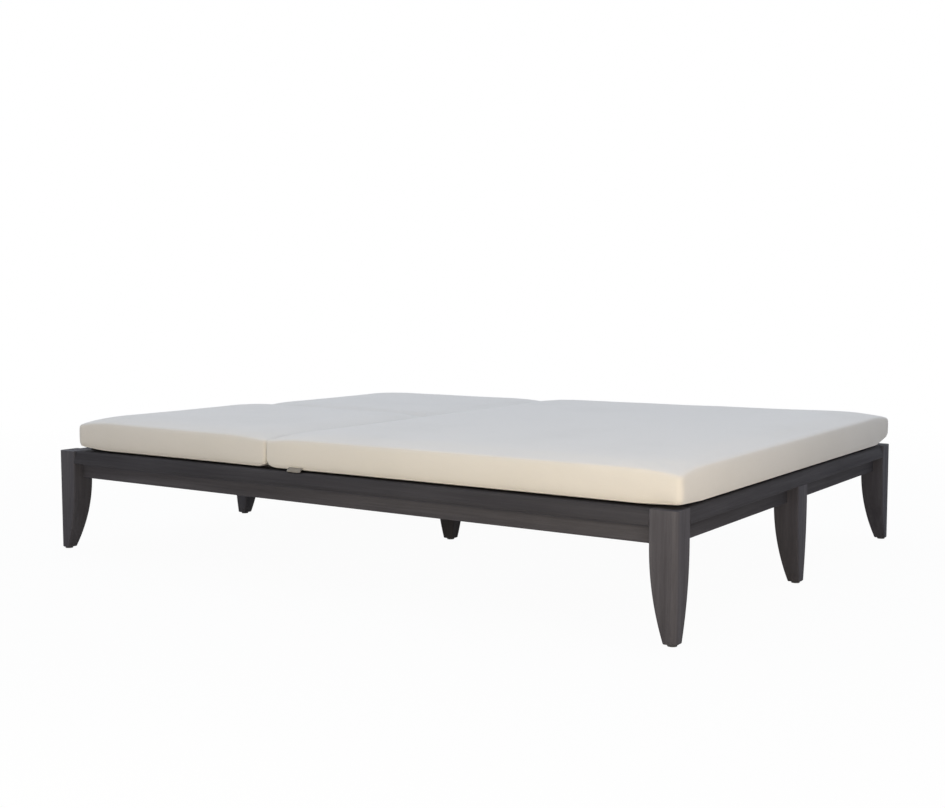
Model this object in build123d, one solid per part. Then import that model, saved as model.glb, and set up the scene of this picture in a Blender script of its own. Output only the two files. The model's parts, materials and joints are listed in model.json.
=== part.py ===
from build123d import *
import math
import os

os.makedirs("parts", exist_ok=True)

# A double chaise lounger in millimetres. X runs from the head to the foot, Y from the near side to the
# far side, Z up from the floor. The origin is on the floor under the middle of the frame.

# Overall frame
frame_length = 2000.0
frame_width = 1520.0
apron_bottom = 213.0
apron_height = 44.0
apron_thickness = 30.0
apron_recess = 30.0
board_height = 36.0
board_width = 60.0
board_lip = 8.0
board_lean = 9.0
board_round = 7.0
apron_ease = 2.5
deck_rise = 4.0

# Legs
leg_side = 67.0
foot_side = 32.0
leg_outer_round = 13.0
leg_inner_round = 4.0
foot_round = 3.0
glide_height = 4.0
glide_radius = 11.0
glide_stem_radius = 2.5
glide_stem_length = 16.0

# Joinery
tenon_length = 28.0
tenon_thickness = 14.0
tenon_height = 13.0
tenon_shoulder = 5.0
middle_tenon_length = 15.0
cross_tenon_length = 18.0
tenon_fit = 0.2

# Beams, cleats and slats
beam_width = 40.0
cross_rail_width = 36.0
cleat_width = 22.0
cleat_height = 22.0
head_cleat_margin = 100.0
head_cleat_inset = 60.0
slat_thickness = 18.0
slat_width = 80.0
slat_gap_least = 14.0
slat_ease = 2.5
slat_end_gap = 3.0

# Corner braces and their hanger bolts
brace_outer = 30.0
brace_inner = 75.0
brace_height = 32.0
brace_lift = 6.0
bolt_radius = 4.0
bolt_in_leg = 34.0
bolt_tail = 10.0
washer_radius = 9.0
washer_thickness = 2.0
nut_radius = 7.5
nut_height = 6.5
metal_fit = 0.05

# Wood screws
screw_head_radius = 4.0
screw_head_height = 2.2
screw_radius = 2.0
screw_length = 34.0
leaf_screw_length = 20.0
screw_fit = 0.1

# Backrests
hinge_x = -191.0
hinge_gap = 6.2
back_head_gap = 4.0
back_side_gap = 3.0
back_frame_height = 28.0
back_rail_width = 50.0
stile_width = 45.0
stile_inset = 60.0
back_slat_width = 72.0
rest_gap = 0.3

# Butt hinges, their pins' axis in the plane of the deck
hinge_share = 0.26
leaf_length = 90.0
leaf_reach = 36.0
leaf_thickness = 2.5
leaf_pocket_fit = 0.2
knuckle_radius = 5.0
knuckle_gap = 0.3
pin_radius = 2.5
pin_head_radius = 4.0
pin_head_height = 1.5
leaf_screw_spacing = 30.0
leaf_screw_setback = 22.0

# Props: an arm as long as its pivot is from the hinge keeps the bar on one straight line
bar_head_margin = 130.0
pivot_drop = 57.0
back_angle_max = 60.0
arm_thickness = 14.0
arm_height = 26.0
bar_radius = 8.0
bar_end_gap = 1.5
lug_thickness = 5.0
lug_width = 40.0
lug_below_pivot = 12.0
lug_gap = 0.3
pivot_radius = 4.0
pivot_head_radius = 7.0
pivot_head_height = 5.0

# Notched strips under the bars
strip_width = 22.0
strip_end_margin = 34.0
strip_bar_gap = 0.5
notch_depth = 9.0
notch_ramp = 13.0
stop_height = 14.0
stop_length = 28.0
notch_angles = (24.0, 36.0, 48.0)

# Cushions
cushion_thickness = 74.0
cushion_edge_rise = 8.0
cushion_crown = 8.0
cushion_crown_run = 150.0
cushion_side_inset = 20.0
cushion_foot_inset = 1.0
cushion_head_inset = 67.0
cushion_gap = 0.3
cushion_plan_round = 18.0
cushion_top_round = 13.0
cushion_bottom_round = 14.0
cushion_corner_least = 1.0
cushion_side_draw = 4.0
cushion_wrap = 9.0
core_plan_round = 30.0
core_round = 14.0
core_fit = 0.3
round_turn_count = 4
crown_run_shares = (0.3, 0.65, 1.0)
tag_width = 53.0
tag_drop = 8.0
tag_lift = 5.0
tag_thickness = 0.6
tag_from_split = 66.0
tag_gap = 0.3

# One overrun for cuts and for stock that is trimmed
overrun = 1.0

# Derived places
half_length = frame_length / 2
half_width = frame_width / 2
board_bottom = apron_bottom + apron_height
frame_top = board_bottom + board_height
deck_top = frame_top + deck_rise
slat_bottom = deck_top - slat_thickness
inner_x = half_length - board_width
inner_y = half_width - board_width
cross_rail_head = hinge_x + hinge_gap
cross_rail_foot = cross_rail_head + cross_rail_width
leg_x = half_length - leg_side
leg_y = half_width - leg_side
centre_leg_x = cross_rail_foot + leg_side / 2
back_hinge_end = hinge_x - hinge_gap
back_head_end = back_head_gap - min(inner_x, leg_x)
back_bottom = slat_bottom - back_frame_height
back_outer_y = inner_y - back_side_gap
back_inner_y = back_side_gap
bar_reach = hinge_x + inner_x - bar_head_margin
pivot_distance = (bar_reach ** 2 - pivot_drop ** 2) / (2 * bar_reach)
pivot_x = hinge_x - pivot_distance
pivot_z = deck_top - pivot_drop
arm_length = math.hypot(pivot_distance, pivot_drop)
pivot_fall = math.atan2(pivot_drop, pivot_distance)
track_fall = pivot_fall / 2
bar_x = hinge_x - bar_reach

near_and_far = {"near": -1, "far": 1}
head_and_foot = {"head": -1, "foot": 1}
quarter_turns = {"near": 0, "foot": 90, "far": 180, "head": -90}

nodes = {}


def block(corner, opposite):
    """A box between two opposite corners."""
    size = [abs(b - a) for a, b in zip(corner, opposite)]
    middle = [(a + b) / 2 for a, b in zip(corner, opposite)]
    return Pos(*middle) * Box(*size)


def grown(corner, opposite, margin):
    """The same box with a margin on every side."""
    low = [min(a, b) - margin for a, b in zip(corner, opposite)]
    high = [max(a, b) + margin for a, b in zip(corner, opposite)]
    return block(low, high)


def rod(start, end, radius):
    """A round bar between two points."""
    path = Vector(*end) - Vector(*start)
    plane = Plane(origin=start, z_dir=path)
    return extrude(plane * Circle(radius), path.length)


def eased(solid, axis, radius):
    """Round over the long edges that run along an axis."""
    return fillet(solid.edges().filter_by(axis), radius)


def group(solids):
    """Separate solids that share one node."""
    return Compound(children=list(solids))


def arc_middle(run, drop):
    """How far along and how far off the middle of an arc is that drops from a line over a run."""
    radius = (run ** 2 + drop ** 2) / (2 * drop)
    half_turn = math.asin(run / radius) / 2
    return radius * math.sin(half_turn), radius * (1 - math.cos(half_turn))


# Top boards and aprons

def top_board(length):
    """A top board along X, its outer face leaning in above a square lip at Y = 0."""
    corners = [
        (0, 0),
        (0, board_lip),
        (board_lean, board_height),
        (board_width, board_height),
        (board_width, 0),
    ]
    rounds = [apron_ease, board_round, board_round, apron_ease, 0]
    outline = FilletPolyline(*corners, radius=rounds, close=True)
    section = Plane.YZ * make_face(outline)
    return Pos(-length / 2, 0, 0) * extrude(section, length)


def apron(length):
    """An apron along X with its outer face set back from Y = 0."""
    low = (-length / 2, apron_recess, 0)
    high = (length / 2, apron_recess + apron_thickness, apron_height)
    return eased(block(low, high), Axis.X, apron_ease)


def on_side(solid, side, height):
    """Turn a piece made for Y = 0 on to one of the frame's four sides."""
    reach = half_width if side in near_and_far else half_length
    return Rot(0, 0, quarter_turns[side]) * Pos(0, -reach, height) * solid


def make_boards_and_aprons():
    for side in near_and_far:
        nodes[f"side_board_{side}"] = on_side(top_board(2 * leg_x), side, board_bottom)
        nodes[f"side_apron_{side}"] = on_side(apron(2 * leg_x), side, apron_bottom)
    half_apron = leg_y - leg_side / 2
    middle = (leg_y + leg_side / 2) / 2
    for end in head_and_foot:
        nodes[f"end_board_{end}"] = on_side(top_board(2 * leg_y), end, board_bottom)
        for side, sign in near_and_far.items():
            piece = on_side(apron(half_apron), end, apron_bottom)
            nodes[f"end_apron_{end}_{side}"] = Pos(0, sign * middle, 0) * piece


# Legs

def straight_outline(top):
    """Leg outline with one straight outer side at 0 and one curved inner side."""
    along, off = arc_middle(apron_bottom - glide_height, leg_side - foot_side)
    middle = (leg_side - off, apron_bottom - along)
    lines = [
        Line((0, glide_height), (foot_side, glide_height)),
        ThreePointArc((foot_side, glide_height), middle, (leg_side, apron_bottom)),
        Line((leg_side, apron_bottom), (leg_side, top)),
        Line((leg_side, top), (0, top)),
        Line((0, top), (0, glide_height)),
    ]
    return make_face(lines)


def even_outline(top):
    """Leg outline that curves in alike on both sides of 0."""
    half_side = leg_side / 2
    half_foot = foot_side / 2
    along, off = arc_middle(apron_bottom - glide_height, half_side - half_foot)
    across = half_side - off
    middle = apron_bottom - along
    lines = [
        Line((-half_foot, glide_height), (half_foot, glide_height)),
        ThreePointArc((half_foot, glide_height), (across, middle), (half_side, apron_bottom)),
        Line((half_side, apron_bottom), (half_side, top)),
        Line((half_side, top), (-half_side, top)),
        Line((-half_side, top), (-half_side, apron_bottom)),
        ThreePointArc((-half_side, apron_bottom), (-across, middle), (-half_foot, glide_height)),
    ]
    return make_face(lines)


def leg_blank(x_outline, y_outline):
    """The leg that has one outline seen along Y and the other seen along X."""
    along_y = extrude(Plane.XZ * x_outline, leg_side + overrun, both=True)
    along_x = extrude(Plane.YZ * y_outline, leg_side + overrun, both=True)
    return along_y & along_x


def upright_edges(leg):
    """The edges that run up the leg, sorted from its inner side to its outer corner."""
    upright = leg.edges().filter_by(lambda edge: edge.bounding_box().size.Z > overrun)
    return upright.sort_by(lambda edge: edge.center().X - edge.center().Y)


def rounded_foot(leg):
    """Round the edges under the foot."""
    return fillet(leg.edges().group_by(Axis.Z)[0], foot_round)


def rounded_leg(leg):
    """Round all the upright edges alike."""
    return rounded_foot(fillet(upright_edges(leg), leg_inner_round))


def rounded_corner_leg(leg):
    """Round the outer corner's edge widely and the others alike."""
    leg = fillet(upright_edges(leg)[:-1], leg_inner_round)
    return rounded_foot(fillet(upright_edges(leg)[-1], leg_outer_round))


def make_legs():
    corner = leg_blank(straight_outline(frame_top), straight_outline(frame_top))
    corner = rounded_corner_leg(mirror(corner, about=Plane.YZ))
    for end, x_sign in head_and_foot.items():
        for side, y_sign in near_and_far.items():
            leg = Pos(half_length, -half_width, 0) * corner
            leg = mirror(leg, about=Plane.YZ) if x_sign < 0 else leg
            leg = mirror(leg, about=Plane.XZ) if y_sign > 0 else leg
            nodes[f"leg_{end}_{side}"] = leg
    middle = mirror(leg_blank(straight_outline(board_bottom), even_outline(board_bottom)), about=Plane.YZ)
    middle = Pos(half_length, 0, 0) * rounded_leg(middle)
    nodes["leg_foot_middle"] = middle
    nodes["leg_head_middle"] = mirror(middle, about=Plane.YZ)
    centre = leg_blank(even_outline(slat_bottom), even_outline(slat_bottom))
    nodes["leg_centre"] = Pos(centre_leg_x, 0, 0) * rounded_leg(centre)


def foot_centres():
    """The middle of each foot on the floor, by leg."""
    offset = foot_side / 2
    feet = {}
    for end, x_sign in head_and_foot.items():
        for side, y_sign in near_and_far.items():
            feet[f"leg_{end}_{side}"] = (x_sign * (half_length - offset), y_sign * (half_width - offset))
        feet[f"leg_{end}_middle"] = (x_sign * (half_length - offset), 0)
    feet["leg_centre"] = (centre_leg_x, 0)
    return feet


def make_glides():
    glides = []
    for leg, (x, y) in foot_centres().items():
        stem_top = glide_height + glide_stem_length
        pad = rod((x, y, 0), (x, y, glide_height), glide_radius)
        stem = rod((x, y, glide_height), (x, y, stem_top), glide_stem_radius)
        glides.append(pad + stem)
        hole = rod((x, y, 0), (x, y, stem_top + screw_fit), glide_stem_radius + screw_fit)
        nodes[leg] -= hole
    nodes["leg_glides"] = group(glides)


# Beams, cross rail and cleats

def make_beams():
    beam = beam_width / 2
    foot_start = centre_leg_x + leg_side / 2
    nodes["centre_beam_seat"] = block((foot_start, -beam, apron_bottom), (leg_x, beam, slat_bottom))
    beam_top = back_bottom - rest_gap
    nodes["centre_beam_head"] = block((-leg_x, -beam, apron_bottom), (cross_rail_head, beam, beam_top))
    low = (cross_rail_head, -inner_y, apron_bottom)
    high = (cross_rail_foot, inner_y, deck_top)
    nodes["hinge_cross_rail"] = eased(block(low, high), Axis.Y, apron_ease)
    cleats = []
    for sign in near_and_far.values():
        low = (cross_rail_foot, sign * inner_y, slat_bottom - cleat_height)
        high = (leg_x, sign * (inner_y - cleat_width), slat_bottom)
        cleats.append(block(low, high))
        low = (-inner_x, sign * head_cleat_inset, apron_bottom)
        high = (cleat_width - inner_x, sign * (leg_y - head_cleat_margin), back_bottom - rest_gap)
        cleats.append(block(low, high))
    nodes["slat_cleats"] = group(cleats)


# Mortise and tenon joints

def join(carrier, receiver, corner, opposite):
    """Give the carrier a tenon and the receiver its mortise."""
    nodes[receiver] -= grown(corner, opposite, tenon_fit)
    nodes[carrier] += block(corner, opposite)


def join_frame():
    half_tenon = tenon_thickness / 2
    middle_face = leg_side / 2
    apron_y = half_width - apron_recess - apron_thickness / 2
    apron_x = half_length - apron_recess - apron_thickness / 2
    board_y = half_width - board_width / 2
    board_x = half_length - board_width / 2
    low_apron = apron_bottom + tenon_shoulder
    high_apron = board_bottom - tenon_shoulder - tenon_height
    low_board = board_bottom + tenon_shoulder / 2
    high_board = frame_top - tenon_shoulder - tenon_height
    for end, ex in head_and_foot.items():
        for side, sy in near_and_far.items():
            leg = f"leg_{end}_{side}"
            for piece, y, z in (
                (f"side_apron_{side}", apron_y, low_apron),
                (f"side_board_{side}", board_y, low_board),
            ):
                join(
                    piece, leg,
                    (ex * leg_x, sy * (y - half_tenon), z),
                    (ex * (leg_x + tenon_length), sy * (y + half_tenon), z + tenon_height),
                )
            for piece, x, z in (
                (f"end_apron_{end}_{side}", apron_x, high_apron),
                (f"end_board_{end}", board_x, high_board),
            ):
                join(
                    piece, leg,
                    (ex * (x - half_tenon), sy * leg_y, z),
                    (ex * (x + half_tenon), sy * (leg_y + tenon_length), z + tenon_height),
                )
            tenon_end = middle_face - middle_tenon_length
            join(
                f"end_apron_{end}_{side}", f"leg_{end}_middle",
                (ex * (apron_x - half_tenon), sy * middle_face, high_apron),
                (ex * (apron_x + half_tenon), sy * tenon_end, high_apron + tenon_height),
            )
        join(
            f"leg_{end}_middle", f"end_board_{end}",
            (ex * (board_x - half_tenon), -tenon_height, board_bottom),
            (ex * (board_x + half_tenon), tenon_height, board_bottom + middle_tenon_length),
        )
    middle = (cross_rail_head + cross_rail_foot) / 2
    for side, sy in near_and_far.items():
        join(
            "hinge_cross_rail", f"side_apron_{side}",
            (middle - half_tenon, sy * inner_y, low_apron),
            (middle + half_tenon, sy * (inner_y + cross_tenon_length), low_apron + tenon_height),
        )
    for carrier, receiver, x, way in (
        ("centre_beam_seat", "leg_foot_middle", leg_x, 1),
        ("centre_beam_seat", "leg_centre", centre_leg_x + leg_side / 2, -1),
        ("centre_beam_head", "leg_head_middle", -leg_x, -1),
        ("centre_beam_head", "hinge_cross_rail", cross_rail_head, 1),
        ("leg_centre", "hinge_cross_rail", cross_rail_foot, -1),
    ):
        join(
            carrier, receiver,
            (x, -half_tenon, low_apron),
            (x + way * middle_tenon_length, half_tenon, low_apron + tenon_height),
        )


# Corner braces

def make_braces():
    braces = []
    hardware = []
    bottom = apron_bottom + brace_lift
    bolt_z = bottom + brace_height / 2
    for end, ex in head_and_foot.items():
        for side, sy in near_and_far.items():
            outline = Polyline(
                (ex * (inner_x - brace_outer), sy * inner_y),
                (ex * (inner_x - brace_inner), sy * inner_y),
                (ex * inner_x, sy * (inner_y - brace_inner)),
                (ex * inner_x, sy * (inner_y - brace_outer)),
                close=True,
            )
            brace = Pos(0, 0, bottom) * extrude(make_face(outline), brace_height, dir=(0, 0, 1))
            face_x = inner_x - brace_inner / 2
            face_y = inner_y - brace_inner / 2
            way = Vector(ex, sy, 0).normalized()
            face = Vector(ex * face_x, sy * face_y, bolt_z)
            leg_corner = Vector(ex * (inner_x - brace_outer / 2), sy * (inner_y - brace_outer / 2), bolt_z)
            tip = leg_corner + way * (bolt_in_leg + math.hypot(brace_outer / 2, brace_outer / 2))
            washer_end = face - way * washer_thickness
            nut_end = washer_end - way * nut_height
            tail = nut_end - way * (bolt_tail - nut_height)
            hole = rod(tail, tip + way * metal_fit, bolt_radius + metal_fit)
            for piece in (f"leg_{end}_{side}", f"end_apron_{end}_{side}", f"side_apron_{side}"):
                nodes[piece] -= hole
            braces.append(brace - hole)
            hardware.append(rod(tail, tip, bolt_radius))
            hardware.append(rod(washer_end, face, washer_radius) - hole)
            nut_plane = Plane(origin=nut_end, z_dir=way)
            nut = extrude(nut_plane * RegularPolygon(nut_radius, 6), nut_height)
            hardware.append(nut - hole)
    nodes["corner_braces"] = group(braces)
    nodes["corner_bolts"] = group(hardware)


# Wood screws

def screw_body(length, margin):
    """A countersunk screw with its head's face at Z = 0, pointing down, grown by a margin."""
    head = screw_head_radius + margin
    shank = screw_radius + margin
    neck = screw_head_height + margin
    tip = length + margin
    outline = Polyline((0, 0), (head, 0), (shank, -neck), (shank, -tip), (0, -tip), close=True)
    return revolve(Plane.XZ * make_face(outline), Axis.Z)


def screws_at(places, length):
    """Screws at a list of places, and the holes that clear them."""
    body = screw_body(length, 0)
    hole = screw_body(length, screw_fit)
    return [Pos(*place) * body for place in places], [Pos(*place) * hole for place in places]


def bored(solids, holes):
    """Cut from each solid the holes that reach it."""
    result = []
    for solid in solids:
        limits = solid.bounding_box()
        along = [hole for hole in holes if limits.min.X < hole.center().X < limits.max.X]
        near = [hole for hole in along if limits.min.Y < hole.center().Y < limits.max.Y]
        result.append(solid - near if near else solid)
    return result


# Seat slats

def slat_starts(low_x, high_x, width):
    """Where each slat starts when as many as fit are spread evenly over a run."""
    room = high_x - low_x
    count = math.floor((room - slat_gap_least) / (width + slat_gap_least))
    gap = (room - count * width) / (count + 1)
    return [low_x + gap + i * (width + gap) for i in range(count)]


def make_seat_slats():
    slats = []
    places = []
    rows = (-(inner_y - cleat_width / 2), 0, inner_y - cleat_width / 2)
    for start in slat_starts(cross_rail_foot, inner_x, slat_width):
        low = (start, -inner_y + slat_end_gap, slat_bottom)
        high = (start + slat_width, inner_y - slat_end_gap, deck_top)
        slats.append(eased(block(low, high), Axis.Y, slat_ease))
        places += [(start + slat_width / 2, y, deck_top) for y in rows]
    screws, holes = screws_at(places, screw_length)
    nodes["seat_slats"] = group(bored(slats, holes))
    nodes["slat_cleats"] = group(bored(nodes["slat_cleats"].solids(), holes))
    for beam in ("centre_beam_seat", "leg_centre"):
        nodes[beam] = bored([nodes[beam]], holes)[0]
    return screws


# Backrests

def hinge_centres():
    """Distances from the middle line to the two hinges of a backrest."""
    width = back_outer_y - back_inner_y
    return back_inner_y + width * hinge_share, back_outer_y - width * hinge_share


def make_back_frame(side, sign):
    def across(low_x, high_x, low_z, high_z):
        return block((low_x, sign * back_inner_y, low_z), (high_x, sign * back_outer_y, high_z))

    hinge_rail = eased(
        across(back_hinge_end - back_rail_width, back_hinge_end, back_bottom, deck_top), Axis.Y, slat_ease)
    head_rail = eased(
        across(back_head_end, back_head_end + back_rail_width, back_bottom, deck_top), Axis.Y, slat_ease)
    stiles = []
    start = back_head_end + back_rail_width
    end = back_hinge_end - back_rail_width
    for inner in (back_inner_y + stile_inset, back_outer_y - stile_inset - stile_width):
        low = (start, sign * inner, back_bottom)
        high = (end, sign * (inner + stile_width), slat_bottom)
        stiles.append(block(low, high))
    slats = []
    places = []
    for low_x in slat_starts(start, end, back_slat_width):
        slat = across(low_x, low_x + back_slat_width, slat_bottom, deck_top)
        slats.append(eased(slat, Axis.Y, slat_ease))
        for inner in (back_inner_y + stile_inset, back_outer_y - stile_inset - stile_width):
            places.append((low_x + back_slat_width / 2, sign * (inner + stile_width / 2), deck_top))
    screws, holes = screws_at(places, screw_length)
    nodes[f"back_hinge_rail_{side}"] = hinge_rail
    nodes[f"back_head_rail_{side}"] = head_rail
    nodes[f"back_stiles_{side}"] = group(bored(stiles, holes))
    nodes[f"back_slats_{side}"] = group(bored(slats, holes))
    return screws


# Butt hinges

def hinge_leaf(centre_y, way, knuckles):
    """A leaf on one side of the pin with knuckles over the given stretches of its length."""
    plate_start = knuckle_radius / 2
    low = (hinge_x + way * plate_start, centre_y - leaf_length / 2, deck_top - leaf_thickness)
    high = (hinge_x + way * leaf_reach, centre_y + leaf_length / 2, deck_top)
    leaf = block(low, high)
    clear_of_pin = knuckle_radius + knuckle_gap
    for start, end, own in knuckles:
        a = (hinge_x, centre_y + start, deck_top)
        b = (hinge_x, centre_y + end, deck_top)
        if own:
            leaf += rod(a, b, knuckle_radius)
        else:
            leaf -= rod((a[0], a[1] - knuckle_gap, a[2]), (b[0], b[1] + knuckle_gap, b[2]), clear_of_pin)
    axis_low = (hinge_x, centre_y - leaf_length / 2 - overrun, deck_top)
    axis_high = (hinge_x, centre_y + leaf_length / 2 + overrun, deck_top)
    return leaf - rod(axis_low, axis_high, pin_radius + metal_fit)


def knuckle_stretches(moving):
    """The three knuckles of a hinge: the outer two are the fixed leaf's."""
    third = leaf_length / 3
    half = leaf_length / 2
    return (
        (-half, -half + third, not moving),
        (-half + third + knuckle_gap, half - third - knuckle_gap, moving),
        (half - third, half, not moving),
    )


def hinge_pin(centre_y):
    half = leaf_length / 2
    shank_low = (hinge_x, centre_y - half - metal_fit, deck_top)
    shank_high = (hinge_x, centre_y + half + metal_fit, deck_top)
    pin = rod(shank_low, shank_high, pin_radius)
    for point, way in ((shank_low, -1), (shank_high, 1)):
        outer = (point[0], point[1] + way * pin_head_height, point[2])
        pin += rod(point, outer, pin_head_radius)
    return pin


def leaf_screw_places(centre_y, way):
    x = hinge_x + way * leaf_screw_setback
    return [(x, centre_y + i * leaf_screw_spacing, deck_top) for i in (-1, 0, 1)]


def leaf_pocket(centre_y, way):
    """The shallow pocket that sinks a leaf flush into its rail."""
    fit = leaf_pocket_fit
    low = (hinge_x, centre_y - leaf_length / 2 - fit, deck_top - leaf_thickness - fit)
    high = (hinge_x + way * (leaf_reach + fit), centre_y + leaf_length / 2 + fit, deck_top + overrun)
    return block(low, high)


def make_hinges():
    fixed_leaves = []
    pins = []
    fixed_screws = []
    moving_screws = {"near": [], "far": []}
    for side, sign in near_and_far.items():
        moving = []
        for distance in hinge_centres():
            y = sign * distance
            rails = ((1, False, "hinge_cross_rail"), (-1, True, f"back_hinge_rail_{side}"))
            for way, is_moving, rail in rails:
                leaf = hinge_leaf(y, way, knuckle_stretches(is_moving))
                screws, holes = screws_at(leaf_screw_places(y, way), leaf_screw_length)
                nodes[rail] = nodes[rail] - leaf_pocket(y, way) - holes
                (moving if is_moving else fixed_leaves).append(leaf - holes)
                (moving_screws[side] if is_moving else fixed_screws).extend(screws)
            pins.append(hinge_pin(y))
        nodes[f"hinge_leaves_{side}"] = group(moving)
    nodes["hinge_leaves_fixed"] = group(fixed_leaves)
    nodes["hinge_pins"] = group(pins)
    return fixed_screws, moving_screws


# Props under the backrests

def bar_distance(angle):
    """How far the bar is from the hinge along its track when the back is at an angle."""
    return 2 * arm_length * math.cos(math.radians(angle) - pivot_fall + track_fall)


def on_track(distance, below):
    """A point on the bar's track, or below it, seen along Y: distance runs from the hinge to the head."""
    x = hinge_x - distance * math.cos(track_fall) + below * math.sin(track_fall)
    z = deck_top - distance * math.sin(track_fall) - below * math.cos(track_fall)
    return x, z


def make_prop(side, sign):
    inner_stile = back_inner_y + stile_inset + stile_width
    outer_stile = back_outer_y - stile_inset - stile_width
    lugs = []
    bolts = []
    arms = []
    bar_low = beam_width / 2 + bar_end_gap
    bar_high = inner_y - bar_end_gap
    bar_start = (bar_x, sign * bar_low, pivot_z)
    bar_end = (bar_x, sign * bar_high, pivot_z)
    bar = rod(bar_start, bar_end, bar_radius)
    for face, way in ((inner_stile, 1), (outer_stile, -1)):
        lug_far = face + way * lug_thickness
        low = (pivot_x - lug_width / 2, sign * face, pivot_z - lug_below_pivot)
        high = (pivot_x + lug_width / 2, sign * lug_far, slat_bottom)
        arm_near = lug_far + way * lug_gap
        arm_far = arm_near + way * arm_thickness
        shank_in = (pivot_x, sign * (arm_far + way * lug_gap), pivot_z)
        shank_out = (pivot_x, sign * (face - way * (nut_height + lug_gap)), pivot_z)
        head_end = (pivot_x, sign * (arm_far + way * (lug_gap + pivot_head_height)), pivot_z)
        nut_end = (pivot_x, sign * (face - way * nut_height), pivot_z)
        hole = rod(
            (pivot_x, sign * (face - way * (nut_height + overrun)), pivot_z),
            (pivot_x, sign * (arm_far + way * overrun), pivot_z),
            pivot_radius + metal_fit,
        )
        lugs.append(block(low, high) - hole)
        bolts.append(rod(shank_out, shank_in, pivot_radius) + rod(shank_in, head_end, pivot_head_radius))
        nut_plane = Plane(origin=nut_end, z_dir=(0, sign * way, 0))
        bolts.append(extrude(nut_plane * RegularPolygon(pivot_head_radius, 6), nut_height) - hole)
        arm_plane = Plane(origin=(0, sign * arm_near, 0), x_dir=(1, 0, 0), z_dir=(0, sign * way, 0))
        middle = arm_plane.to_local_coords(Vector((pivot_x + bar_x) / 2, sign * arm_near, pivot_z))
        arm_face = Pos(middle.X, middle.Y, 0) * SlotCenterToCenter(arm_length, arm_height)
        arm = extrude(arm_plane * arm_face, arm_thickness)
        arms.append(arm - hole - rod(bar_start, bar_end, bar_radius))
    nodes[f"prop_lugs_{side}"] = group(lugs)
    nodes[f"prop_bolts_{side}"] = group(bolts)
    nodes[f"prop_arms_{side}"] = group(arms)
    nodes[f"prop_bar_{side}"] = bar


def strip_outline():
    """A notched strip seen along Y, from its head end to its stop at the hinge end."""
    surface = bar_radius + strip_bar_gap
    floor = surface + notch_depth
    last = bar_distance(back_angle_max)
    farthest = bar_distance(0) + strip_end_margin
    stop_face = last - surface
    points = [(on_track(farthest, surface)[0], apron_bottom), on_track(farthest, surface)]
    for angle in notch_angles:
        centre = bar_distance(angle)
        ramp_foot = centre - bar_radius / 2
        points += [
            on_track(centre + surface, surface),
            on_track(centre + surface, floor),
            on_track(ramp_foot, floor),
            on_track(ramp_foot - notch_ramp, surface),
        ]
    points += [
        on_track(last + surface, surface),
        on_track(last + surface, floor),
        on_track(stop_face, floor),
        on_track(stop_face, surface - stop_height),
        on_track(stop_face - stop_length, surface - stop_height),
    ]
    points.append((points[-1][0], apron_bottom))
    return make_face(Polyline(*points, close=True))


def make_strips():
    profile = Plane.XZ * strip_outline()
    strip = extrude(profile, strip_width)
    for side, sign in near_and_far.items():
        beam = beam_width / 2
        places = {"side": inner_y - strip_width, "centre": beam}
        for name, start in places.items():
            low_y = start if sign > 0 else -start - strip_width
            nodes[f"notch_strip_{side}_{name}"] = Pos(0, low_y + strip_width, 0) * strip


# Cushions

def corner_lift(distance, radius):
    """How far a round of this radius has drawn back at a distance from its end."""
    if distance >= radius:
        return 0
    return radius - math.sqrt(radius ** 2 - (radius - distance) ** 2)


def side_draw_at(distance, half):
    """How far a cushion's side is drawn in at a distance from its end, its half length being given."""
    return cushion_side_draw * (1 - (1 - distance / half) ** 2)


def cushion_section(x, low_y, high_y, low_z, high_z, low_round, high_round):
    """A section across a cushion: flat below, round corners, and a top that rises from both sides."""
    turn = 1 - math.sqrt(2) / 2
    low_turn = turn * low_round
    high_turn = turn * high_round
    crown_z = high_z + cushion_crown
    along, off = arc_middle(cushion_crown_run - high_round, cushion_crown)
    crown_right = (high_y - cushion_crown_run, crown_z)
    crown_left = (low_y + cushion_crown_run, crown_z)
    low_right = (high_y - low_round, low_z)
    side_low_right = (high_y, low_z + low_round)
    side_high_right = (high_y, high_z - high_round)
    high_right = (high_y - high_round, high_z)
    high_left = (low_y + high_round, high_z)
    side_high_left = (low_y, high_z - high_round)
    side_low_left = (low_y, low_z + low_round)
    low_left = (low_y + low_round, low_z)
    lines = [
        Line(low_left, low_right),
        ThreePointArc(low_right, (high_y - low_turn, low_z + low_turn), side_low_right),
        Line(side_low_right, side_high_right),
        ThreePointArc(side_high_right, (high_y - high_turn, high_z - high_turn), high_right),
        ThreePointArc(high_right, (crown_right[0] + along, crown_z - off), crown_right),
        Line(crown_right, crown_left),
        ThreePointArc(crown_left, (crown_left[0] - along, crown_z - off), high_left),
        ThreePointArc(high_left, (low_y + high_turn, high_z - high_turn), side_high_left),
        Line(side_high_left, side_low_left),
        ThreePointArc(side_low_left, (low_y + low_turn, low_z + low_turn), low_left),
    ]
    return Plane(origin=(x, 0, 0), x_dir=(0, 1, 0), z_dir=(1, 0, 0)) * make_face(lines)


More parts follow.
